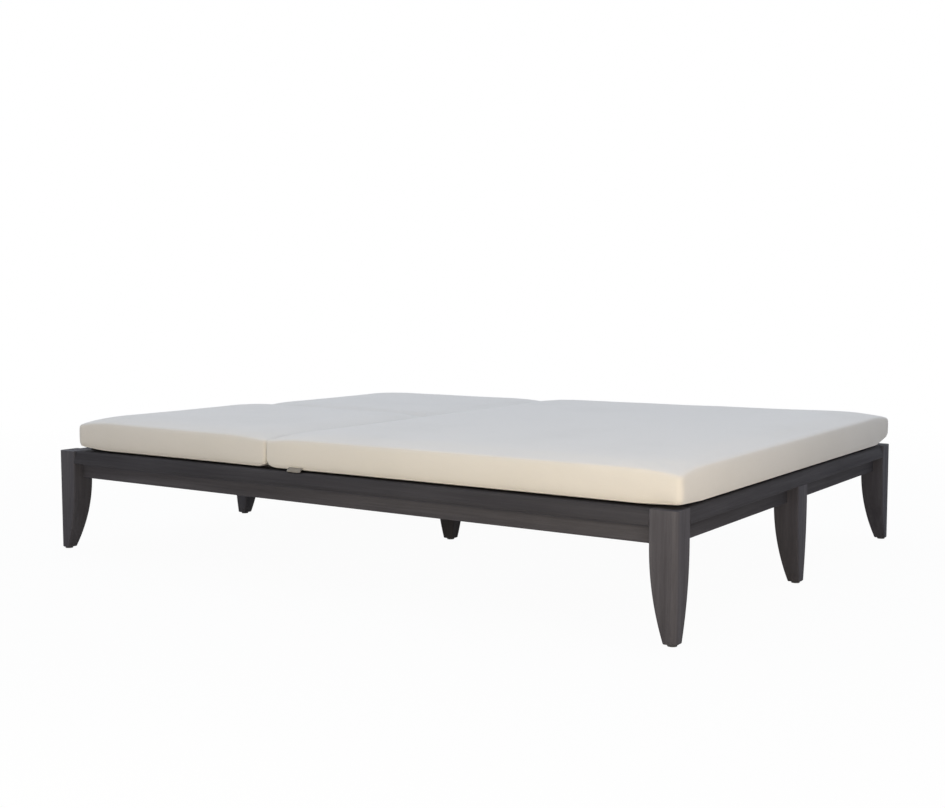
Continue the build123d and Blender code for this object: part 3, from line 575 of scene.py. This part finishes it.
def cushion_points(keys, rows, height, top_lifts, under_lifts, beside):
    """The filled shape: rounded edges, pinched corners, and a top that rises from all sides."""
    keys = np.array(keys)
    x, y, z = (np.array(rows[a])[keys[:, a]] for a in range(3))
    half_x, half_y, half_z = rows[0][-1], rows[1][-1], height / 2
    plan_round = np.where(x * beside[0] > 0, plan_round_split, plan_round_outer)
    to_end, to_side = half_x - abs(x), half_y - abs(y)
    free = (x * beside[0] <= 0) & (y * beside[1] <= 0)
    corner = np.where(free, nearness(to_end, to_side, corner_run) ** 2, 0.0)
    under_corner = np.where(free, nearness(to_end, to_side, under_run) ** under_curl, 0.0)
    depth = np.minimum(to_end, to_side)
    in_x = abs(x) - (half_x - plan_round)
    in_y = abs(y) - (half_y - plan_round)
    new_x, new_y, in_corner = onto_round(in_x, in_y)
    plan_x = np.where(in_corner, half_x - plan_round + new_x, abs(x))
    plan_y = np.where(in_corner, half_y - plan_round + new_y, abs(y))
    nearer_end = to_end <= to_side
    to_x = np.where(in_corner, new_x, nearer_end)
    to_y = np.where(in_corner, new_y, ~nearer_end)
    length = np.maximum(np.hypot(to_x, to_y), least_length)
    to_x, to_y = to_x / length, to_y / length
    across, upward, on_edge = onto_round(edge_round - depth, abs(z) - (half_z - edge_round))
    new_depth = np.where(on_edge, edge_round - across, depth)
    new_z = np.where(on_edge, half_z - edge_round + upward, abs(z)) * np.sign(z)
    move = np.where(depth < edge_round, new_depth - depth, 0.0)
    bulge = boxing_bulge * np.clip(1 - (new_z / half_z) ** 2, 0, 1) * (new_depth < edge_round)
    plan_x = plan_x - (move - bulge) * to_x + corner_ear * corner
    plan_y = plan_y - (move - bulge) * to_y + corner_ear * corner
    x, y = np.sign(x) * plan_x, np.sign(y) * plan_y
    along, over = x / half_x / 2 + 0.5, y / half_y / 2 + 0.5
    rise = edge_rise * rise_at(half_x - abs(x)) + crown * rise_at(half_y - abs(y))
    rise = rise + between_corners(top_lifts, along, over) - corner_drop * corner
    under = split_lift * np.clip(1 - (half_x - x * beside[0]) / split_run, 0, 1) ** 2
    under = under + between_corners(under_lifts, along, over) * under_corner
    above = np.clip(new_z / height + 0.5, 0, 1)
    new_z = new_z + rise * above + under * (1 - above)
    pulled_x = x * (1 - end_draw / half_x * (1 - (y / half_y) ** 2))
    pulled_y = y * (1 - side_draw / half_y * (1 - (x / half_x) ** 2))
    return np.column_stack([pulled_x, pulled_y, new_z]), new_depth


def soften(points, depth, seed):
    """Shallow dimples over the top and small puckers beside the seams."""
    for i, (x, y, z) in enumerate(points):
        if z < 0:
            continue
        where = Vector((x, y, seed))
        dimple = noise.noise(where * dimple_scales[0]) + 0.5 * noise.noise(where * dimple_scales[1])
        inner = min(1.0, depth[i] / dimple_fade)
        beside_seam = math.exp(-depth[i] / pucker_run)
        pucker = noise.noise(Vector((x, y, seed + pucker_seed_shift)) * pucker_scale) * beside_seam
        points[i, 2] += dimple_depth * dimple * inner + pucker_depth * pucker
    return points


def filled(piece, pinned):
    """Blow the cover up against its seams, as its fill does, and keep the move within its cap."""
    start = np.array([v.co for v in piece.data.vertices], float)
    seams = piece.vertex_groups.new(name="seams")
    seams.add(pinned, 1.0, "REPLACE")
    cloth = piece.modifiers.new("fill", "CLOTH")
    cloth.settings.quality = cloth_quality
    cloth.settings.mass = cloth_mass
    cloth.settings.tension_stiffness = cloth_tension
    cloth.settings.compression_stiffness = cloth_compression
    cloth.settings.shear_stiffness = cloth_shear
    cloth.settings.bending_stiffness = cloth_bending
    cloth.settings.use_pressure = True
    cloth.settings.uniform_pressure_force = cloth_pressure
    cloth.settings.effector_weights.gravity = 0.0
    cloth.settings.vertex_group_mass = "seams"
    cloth.collision_settings.use_collision = False
    cloth.point_cache.frame_start = 1
    cloth.point_cache.frame_end = cloth_frames
    scene = bpy.context.scene
    for step in range(1, cloth_frames + 1):
        scene.frame_set(step)
    shown = piece.evaluated_get(bpy.context.evaluated_depsgraph_get())
    blown = np.array([v.co for v in shown.data.vertices], float)
    piece.modifiers.remove(cloth)
    piece.vertex_groups.remove(seams)
    scene.frame_set(1)
    moved = blown - start
    far = np.linalg.norm(moved, axis=1, keepdims=True)
    moved *= cloth_cap * np.tanh(far / cloth_cap) / np.maximum(far, least_length)
    piece.data.vertices.foreach_set("co", (start + moved).ravel())
    piece.data.update()


def ring_of(keys, counts, level):
    """The vertices round the block at one level, in order."""
    index = {key: i for i, key in enumerate(keys)}
    nx, ny = counts[0], counts[1]
    walk = [(i, 0) for i in range(nx)] + [(nx, j) for j in range(ny)]
    walk += [(i, ny) for i in range(nx, 0, -1)] + [(0, j) for j in range(ny, 0, -1)]
    return [index[(i, j, level)] for i, j in walk]


def seam_cord(name, path):
    """The cord in the lower seam, as a closed tube along it."""
    count = len(path)
    points = []
    for i, here in enumerate(path):
        ahead = (path[(i + 1) % count] - path[i - 1]).normalized()
        side = ahead.cross(Vector((0, 0, 1))).normalized()
        up = side.cross(ahead)
        for k in range(seam_sides):
            angle = 2 * math.pi * k / seam_sides
            points.append(here + (side * math.cos(angle) + up * math.sin(angle)) * seam_radius)
    faces = []
    for i in range(count):
        following = (i + 1) % count
        for k in range(seam_sides):
            beside = (k + 1) % seam_sides
            faces.append((
                i * seam_sides + k, i * seam_sides + beside,
                following * seam_sides + beside, following * seam_sides + k,
            ))
    return new_piece(name, points, faces, cushion_cloth)


def make_cushion(name, body, seed, top_lifts, under_lifts, beside):
    """A boxed cushion in the space of its cover, with the cord in its lower seam.

    The lifts raise the corners of its top and its underside. The pair called beside says on which side
    along X and Y another cushion lies, as -1, 0 or 1.
    """
    low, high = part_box(f"{name}_cover")
    size = high - low
    middle = (low + high) / 2
    floor = deck_top + deck_clearance
    height = high.z - crown - edge_rise - floor
    rows = [stations(size.x), stations(size.y), stations(height)]
    counts = [len(row) - 1 for row in rows]
    keys, faces = box_surface(counts)
    points, depth = cushion_points(keys, rows, height, top_lifts, under_lifts, beside)
    points = soften(points, depth, seed)
    points += np.array([middle.x, middle.y, floor + height / 2])
    piece = new_piece(name, points, faces, cushion_cloth)
    top_edge, seam = ring_of(keys, counts, counts[2]), ring_of(keys, counts, 0)
    under = [i for i, key in enumerate(keys) if key[2] == 0]
    filled(piece, under + top_edge)
    free_low = Vector((beside[0] >= 0, beside[1] >= 0, 0))
    free_high = Vector((beside[0] <= 0, beside[1] <= 0, 0))
    settle(piece, low - free_low * corner_ear, high + free_high * corner_ear, floor)
    cord = seam_cord(f"{name}_seam", [piece.data.vertices[i].co.copy() for i in seam])
    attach(cord, body)
    smoother = piece.modifiers.new("smoother", "SUBSURF")
    smoother.levels = 1
    smoother.render_levels = 1
    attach(piece, body)
    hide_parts(f"{name}_cover", f"{name}_core")


def settle(piece, low, high, floor):
    """Keep the cushion above the deck and on its own side of its neighbours."""
    points = np.array([v.co for v in piece.data.vertices], float)
    points[:, 0] = np.clip(points[:, 0], low.x, high.x)
    points[:, 1] = np.clip(points[:, 1], low.y, high.y)
    points[:, 2] = np.clip(points[:, 2], floor, None)
    piece.data.vertices.foreach_set("co", points.ravel())
    piece.data.update()


def make_tag():
    """The short tape tag: out of the cushion's lower seam, bowed over and down to the board's top edge."""
    low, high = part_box("cushion_tag")
    cushion_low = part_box("seat_cushion_cover")[0]
    board_low, board_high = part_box("side_board_near")
    sewn = Vector((0, cushion_low.y + tag_seam_inset, cushion_low.z + tag_seam_height))
    hem = Vector((0, board_low.y + board_lean + tag_thickness, board_high.z + 2 * tag_thickness))
    bow = Vector((0, sewn.y + (hem.y - sewn.y) * tag_bow_share, sewn.z))
    start = (low.x + high.x - tag_width) / 2 + tag_shift
    rows, columns = tag_rows, tag_columns
    shares = [i / rows for i in range(rows + 1)]
    spine = [sewn * (1 - s) ** 2 + bow * 2 * s * (1 - s) + hem * s ** 2 for s in shares]
    points = []
    for layer in (0, 1):
        for share, here in zip(shares, spine):
            for j in range(columns + 1):
                across = j / columns
                curl = tag_edge_curl * share ** 2 * (2 * across - 1) ** 2
                ripple = tag_ripple * (1 + math.sin(across * tag_ripple_turns)) * share
                out = layer * tag_thickness + (curl + ripple)
                place = (start + tag_width * across, here.y + out * tag_out_y, here.z + out * tag_out_z)
                points.append(place)
    faces = []
    wide = columns + 1
    layer_size = (rows + 1) * wide
    for i in range(rows):
        for j in range(columns):
            a = i * wide + j
            quad = (a, a + 1, a + 1 + wide, a + wide)
            faces.append(tuple(reversed(quad)))
            faces.append(tuple(k + layer_size for k in quad))
    border = list(range(columns)) + [columns + i * wide for i in range(rows)]
    border += [rows * wide + j for j in range(columns, 0, -1)] + [i * wide for i in range(rows, 0, -1)]
    for a, b in zip(border, border[1:] + border[:1]):
        faces.append((a, b, b + layer_size, a + layer_size))
    tag = new_piece("tag", points, faces, tag_cloth)
    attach(tag, "root")
    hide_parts("cushion_tag")


# Making the floor, the light and the camera

def make_floor():
    """A pale floor that keeps a faint shadow under a white surround."""
    corners = [(x * floor_reach, y * floor_reach, 0) for x, y in ((-1, -1), (1, -1), (1, 1), (-1, 1))]
    finish, tree, shader = new_finish("pale_floor")
    shader.inputs["Base Color"].default_value = floor_grey
    shader.inputs["Roughness"].default_value = 0.9
    shader.inputs["Specular IOR Level"].default_value = 0.1
    glow = put(tree, "ShaderNodeEmission", {"Color": white, "Strength": 1.0})
    away = put(tree, "ShaderNodeVectorMath", {0: own_place(tree)}, operation="LENGTH").outputs["Value"]
    whiter = spread(tree, away, floor_white_from, floor_white_to, floor_white_near, 1.0)
    share = calc(tree, "MULTIPLY", seen_straight(tree), whiter)
    blend = put(tree, "ShaderNodeMixShader", {0: share, 1: shader.outputs[0], 2: glow.outputs[0]})
    tree.links.new(blend.outputs[0], tree.nodes["Material Output"].inputs["Surface"])
    floor = new_piece("floor", corners, [(0, 1, 2, 3)], finish, smooth=False)


def make_world():
    """A white surround to look at, and a soft light that is strongest from above the head's far side."""
    world = bpy.data.worlds.new("studio")
    bpy.context.scene.world = world
    world.use_nodes = True
    tree = world.node_tree
    tree.nodes.clear()
    way = put(tree, "ShaderNodeTexCoord").outputs["Generated"]
    towards = put(tree, "ShaderNodeVectorMath", {0: way, 1: sky_aim}, operation="DOT_PRODUCT")
    strength = spread(tree, towards.outputs["Value"], 0.0, 1.0, 0.0, sky_strength)
    soft = put(tree, "ShaderNodeBackground", {"Color": sky_colour, "Strength": strength})
    plain = put(tree, "ShaderNodeBackground", {"Color": white, "Strength": 1.0})
    straight = seen_straight(tree)
    blend = put(tree, "ShaderNodeMixShader", {0: straight, 1: soft.outputs[0], 2: plain.outputs[0]})
    result = put(tree, "ShaderNodeOutputWorld")
    tree.links.new(blend.outputs[0], result.inputs["Surface"])


def make_lamp(name, place, target, size, power, colour):
    """A rectangular lamp that faces its target."""
    lamp = bpy.data.lights.new(name, "AREA")
    lamp.shape = "RECTANGLE"
    lamp.size, lamp.size_y = size
    lamp.energy = power
    lamp.color = colour
    holder = bpy.data.objects.new(name, lamp)
    bpy.context.scene.collection.objects.link(holder)
    holder.location = place
    holder.rotation_euler = (Vector(target) - Vector(place)).to_track_quat("-Z", "Y").to_euler()


def make_camera():
    """The camera that the photograph was taken with, as far as it could be solved."""
    camera = bpy.data.cameras.new("camera")
    camera.sensor_width = sensor_width
    camera.lens = focal_pixels / image_width * sensor_width
    holder = bpy.data.objects.new("camera", camera)
    bpy.context.scene.collection.objects.link(holder)
    holder.location = camera_place
    turn = Matrix.Rotation(camera_turn, 3, "Z") @ Matrix.Rotation(math.pi / 2 - camera_fall, 3, "X")
    holder.rotation_euler = (turn @ Matrix.Rotation(camera_roll, 3, "Z")).to_euler()
    bpy.context.scene.camera = holder


finish_frame()
for cushion in cushions:
    make_cushion(*cushion)
make_tag()
make_floor()
make_world()
for lamp in lamps:
    make_lamp(*lamp)
make_camera()
bpy.context.scene.view_settings.view_transform = "Standard"
